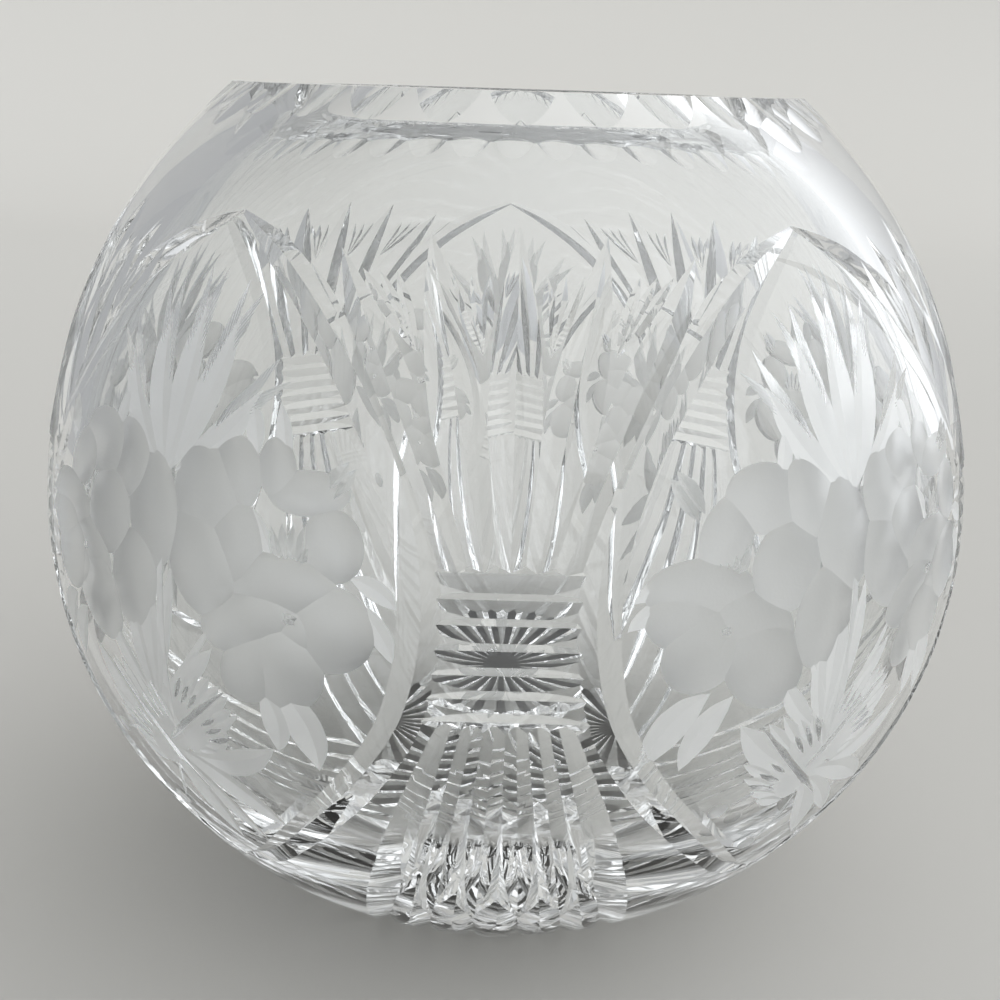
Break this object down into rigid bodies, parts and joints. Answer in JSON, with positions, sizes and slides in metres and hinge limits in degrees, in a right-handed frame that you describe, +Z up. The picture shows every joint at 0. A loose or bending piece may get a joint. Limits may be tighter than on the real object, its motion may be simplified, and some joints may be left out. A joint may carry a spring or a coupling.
{
  "type": "rose bowl vase",
  "caption": "An almost round vase of thick clear crystal, cut with fans of rays, a ladder of steps and pointed panels of ground flowers, with a wide flat mouth.",
  "frame": {"origin": "the centre of the face that the bowl stands on, on the axis of the bowl", "axes": "+Z up along the axis, -Y towards the viewer at the middle of one cut column, +X to the viewer's right"},
  "size_m": [0.178, 0.1779, 0.161],
  "materials": {
    "crystal": "polished clear crystal with cut facets"
  },
  "bodies": {
    "root": {"bowl": "crystal"}
  },
  "joints": []
}
